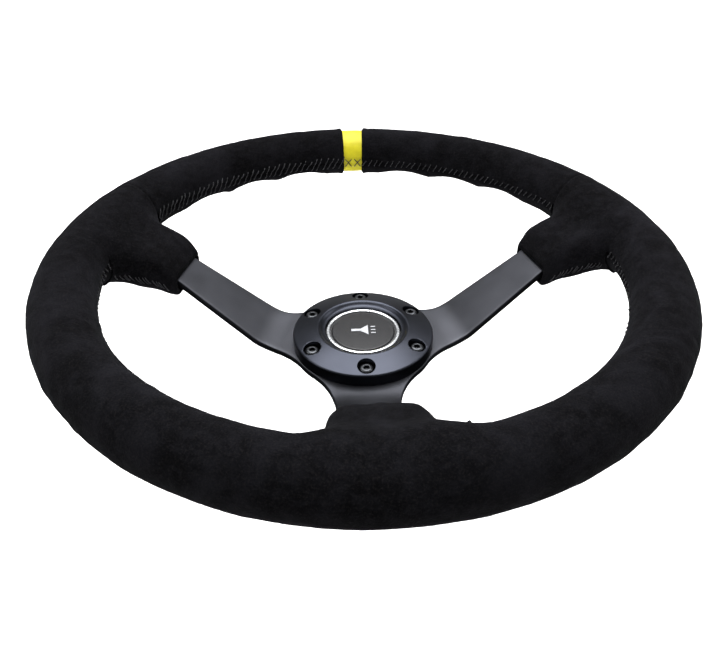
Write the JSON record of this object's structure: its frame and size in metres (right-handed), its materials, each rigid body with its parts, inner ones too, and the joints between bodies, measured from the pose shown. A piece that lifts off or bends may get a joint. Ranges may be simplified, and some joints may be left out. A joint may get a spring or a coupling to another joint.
{
  "type": "steering wheel",
  "caption": "Deep-dish spoked steering wheel with a suede-wrapped grip, a centre marker band and a sprung horn button inside a screwed clamping ring.",
  "frame": {"origin": "centre of the spoke plate's back face, where it meets its hub boss", "axes": "+Z along the steering axis towards the driver, +Y towards the centre marker at twelve o'clock, +X to the driver's right"},
  "size_m": [0.35, 0.3498, 0.0902],
  "materials": {
    "suede": "napped suede leather",
    "marker_leather": "smooth grained leather",
    "thread": "waxed thread",
    "grip_foam": "moulded polyurethane foam",
    "spoke_black": "satin black anodised aluminium plate",
    "ring_black": "satin black anodised aluminium",
    "core_steel": "cut steel",
    "screw_steel": "dark plated steel",
    "trim_chrome": "polished",
    "housing_plastic": "moulded nylon",
    "spring_steel": "drawn wire",
    "fibre_board": "pressed fibre",
    "contact_brass": "stamped",
    "terminal_tin": "tin plated",
    "cap_satin": "fine satin",
    "pictogram_print": "pale pad print"
  },
  "bodies": {
    "wheel": {"spoke_plate": "spoke_black", "rim_core": "core_steel", "core_rivets": "core_steel", "rim_padding": "grip_foam", "sleeve_padding_left": "grip_foam", "sleeve_padding_right": "grip_foam", "sleeve_padding_bottom": "grip_foam", "cover_upper_left": "suede", "cover_upper_right": "suede", "cover_lower_left": "suede", "cover_lower_right": "suede", "cover_sleeve_left": "suede", "cover_sleeve_right": "suede", "cover_sleeve_bottom": "suede", "centre_marker": "marker_leather", "seam_thread": "thread", "clamping_ring": "ring_black", "ring_screws": "screw_steel", "trim_ring": "trim_chrome", "button_housing": "housing_plastic", "snap_ring": "spring_steel", "contact_base": "fibre_board", "fixed_contact": "contact_brass", "contact_rivets": "contact_brass", "live_terminal": "terminal_tin", "earth_terminal": "terminal_tin", "horn_spring": "spring_steel"},
    "horn_cap": {"button_cap": "cap_satin", "cap_pictogram": "pictogram_print", "moving_contact": "contact_brass", "cap_rivet": "contact_brass"}
  },
  "joints": [
    {"name": "horn_press", "type": "slide", "parent": "wheel", "child": "horn_cap", "axis": [0, 0, -1], "range_m": [0, 0.002], "stiffness_N_per_m": 3000, "springref_m": -0.002, "deforming": ["horn_spring"]}
  ]
}
